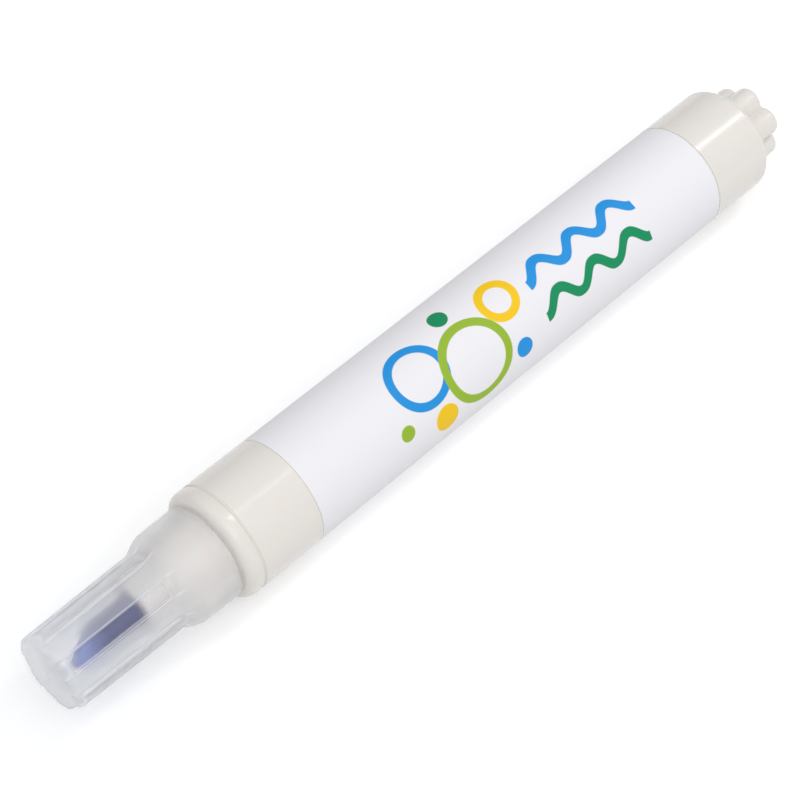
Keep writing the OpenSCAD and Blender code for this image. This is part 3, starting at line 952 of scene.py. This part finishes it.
def raise_ribs(bm):
    """Moves the outside of the grip outward where a rib runs, until the shoulder swallows it."""
    for vert in bm.verts:
        x, radius = vert.co.x, radius_of(vert)
        on_end_round = x < CAP_TIP_X + END_ROUND - MERGE
        skin = END_ROUND + OUTER_SPARE if on_end_round else OUTER_SKIN
        if radius <= cap_outside_r(x) - skin or x > SKIRT_X:
            continue
        rib_top = cap_outside_r(min(x, SHOULDER_X)) + RIB_HEIGHT
        away = from_nearest(turn_of(vert), RIB_TURNS)
        on_rib = ease((RIB_HALF + FLANK / 2 - away) / FLANK)
        move_radially(vert, radius + max(0, rib_top - cap_outside_r(x)) * on_rib)


def make_cap():
    bm = bmesh.new()
    wire = outline_wire(bm, cap_outline())
    start_at(bm, RIB_TURNS[0] + RIB_PITCH / 2)
    groove = (RIB_PITCH / 2 - RIB_HALF - FLANK / 2, GROOVE_STEPS)
    flank, crest = (FLANK, FLANK_STEPS), (2 * RIB_HALF - FLANK, RIB_STEPS)
    spin_in_stretches(bm, wire, [groove, flank, crest, flank, groove] * len(RIB_TURNS))
    round_ring(bm, CAP_TIP_X, cap_outside_r(CAP_TIP_X), END_ROUND, segments=8)
    round_ring(bm, CAP_LIP_X, CAP_LIP_R, LIP_ROUND, segments=4)
    raise_ribs(bm)
    return as_object(bm, "cap_shell", sharp_angle=40)


cap = make_cap()
dress(cap, milky, "cap", "cap")

# %% [markdown]
# The nib is a stick of pressed felt. It is spun as a plain rod with a soft front edge, then a plane
# cuts its front on the slant, and the new edge is rounded as the felt wears round in use.

# %% Nib
NIB_R = 2.3 * MM
NIB_TURN, NIB_SLANT = 120, 56
NIB_FRONT_ROUND, NIB_WEAR = 0.9 * MM, 0.18 * MM
CUT_PAST_AXIS = 0.3
NIB_STEPS = 72


def cut_on_slant(bm):
    """Cuts the rod's front off with a slanted plane, closes it and rounds the new edge."""
    turn, slant = math.radians(NIB_TURN), math.radians(NIB_SLANT)
    cut_side = Vector((0, math.sin(turn), -math.cos(turn)))
    cut = bmesh.ops.bisect_plane(
        bm, geom=bm.verts[:] + bm.edges[:] + bm.faces[:], dist=MERGE, clear_outer=True,
        plane_co=CENTRE + AXIS * NIB_TIP_X - cut_side * NIB_R * CUT_PAST_AXIS,
        plane_no=-AXIS * math.cos(slant) + cut_side * math.sin(slant))
    edges = [edge for edge in cut["geom_cut"] if isinstance(edge, bmesh.types.BMEdge)]
    bmesh.ops.contextual_create(bm, geom=edges)
    bmesh.ops.bevel(bm, geom=edges, offset=NIB_WEAR, affect="EDGES", segments=3, profile=0.5,
                    material=-1, clamp_overlap=True)
    print("nib cut of", len(edges), "edges")


def make_nib():
    bm = bmesh.new()
    wire = outline_wire(bm, [
        (NIB_TIP_X, 0), (NIB_TIP_X, NIB_R), (NIB_BACK_X, NIB_R), (NIB_BACK_X, 0)])
    spin_full(bm, wire, NIB_STEPS)
    round_ring(bm, NIB_TIP_X, NIB_R, NIB_FRONT_ROUND, segments=7)
    cut_on_slant(bm)
    bmesh.ops.recalc_face_normals(bm, faces=bm.faces)
    return as_object(bm, "nib_felt")


nib = make_nib()
dress(nib, felt, "plunger", "nib")

# %% [markdown]
# The label is a film wrapped once round the barrel, so it is a thin strip of outline spun almost
# the whole way. The two ends leave a fine slit between them on the side that the barrel lies on.

# %% Label
FILM = 0.095 * MM
SEAM_TURN, SEAM_WIDTH = 20, 0.4 * MM
LABEL_STEPS = 160


def only_edges(geom):
    return [part for part in geom if isinstance(part, bmesh.types.BMEdge)]


def make_label():
    inner_r = LABEL_R - FILM
    slit = SEAM_WIDTH / LABEL_R
    bm = bmesh.new()
    wire = outline_wire(bm, [
        (LABEL_EDGE_X, inner_r), (LABEL_EDGE_X, LABEL_R),
        (LABEL_BACK_X, LABEL_R), (LABEL_BACK_X, inner_r)], closed=True)
    start_at(bm, SEAM_TURN + math.degrees(slit / 2))
    made = bmesh.ops.spin(bm, geom=wire, cent=CENTRE, axis=AXIS, angle=math.tau - slit,
                          steps=LABEL_STEPS)
    for end in (wire, made["geom_last"]):
        bmesh.ops.contextual_create(bm, geom=only_edges(end))
    bmesh.ops.recalc_face_normals(bm, faces=bm.faces)
    return as_object(bm, "label_film", sharp_angle=30)


label = make_label()
dress(label, print_film, "pen_body", "label")

# %% [markdown]
# The valve's spring is a coil of round steel wire. A circle that is spun round the axis while each
# step also moves it along draws that coil, so one spin makes it. It is the only part that changes
# its length in use: when the nib is pressed, the spring shortens toward its back end.

# %% Valve spring
SPRING_LOW, SPRING_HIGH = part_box("valve_spring")
WIRE_R, WIRE_SIDES = 0.225 * MM, 12
SPRING_TURNS, STEPS_A_TURN = 6, 24
COIL_R = (SPRING_HIGH[2] - SPRING_LOW[2]) / 2 - WIRE_R
SPRING_LEN = SPRING_HIGH[0] - SPRING_LOW[0]


def make_spring():
    rise = SPRING_LEN - 2 * WIRE_R
    lean = math.atan(rise / SPRING_TURNS / (math.tau * COIL_R))
    place = Matrix.Translation((SPRING_LOW[0] + WIRE_R, 0, AXIS_Z + COIL_R))
    upright = Matrix.Rotation(lean, 4, "Z") @ Matrix.Rotation(math.pi / 2, 4, "X")
    steps = SPRING_TURNS * STEPS_A_TURN
    bm = bmesh.new()
    bmesh.ops.create_circle(bm, cap_ends=True, segments=WIRE_SIDES, radius=WIRE_R,
                            matrix=place @ upright)
    bmesh.ops.spin(bm, geom=bm.verts[:] + bm.edges[:] + bm.faces[:], cent=CENTRE, axis=AXIS,
                   dvec=AXIS * (rise / steps), angle=math.tau * SPRING_TURNS, steps=steps)
    bmesh.ops.recalc_face_normals(bm, faces=bm.faces)
    open_edges = sum(len(edge.link_faces) != 2 for edge in bm.edges)
    print("spring", round(SPRING_LEN / MM, 2), "mm long,", open_edges, "open edges")
    return as_object(bm, "spring_coil", sharp_angle=50)


spring = make_spring()
dress(spring, spring_wire, "pen_body", "valve_spring")
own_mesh(spring)

# %% [markdown]
# The gasket, the seal and the valve's turned parts have their full shape in the construction model
# already, so these pieces stay as they are and only get their finish.

# %% Gasket, seal and valve parts
KEPT = {"collar_gasket": tan_rubber, "plug_seal": tan_rubber, "valve_washer": tan_rubber,
        "valve_cup": valve_white, "valve_stem": valve_white, "valve_cage": valve_white}
for node, finish in KEPT.items():
    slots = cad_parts[node].material_slots
    for place in slots:
        place.material = finish
    print(node, "keeps its shape,", len(slots), "material slot")
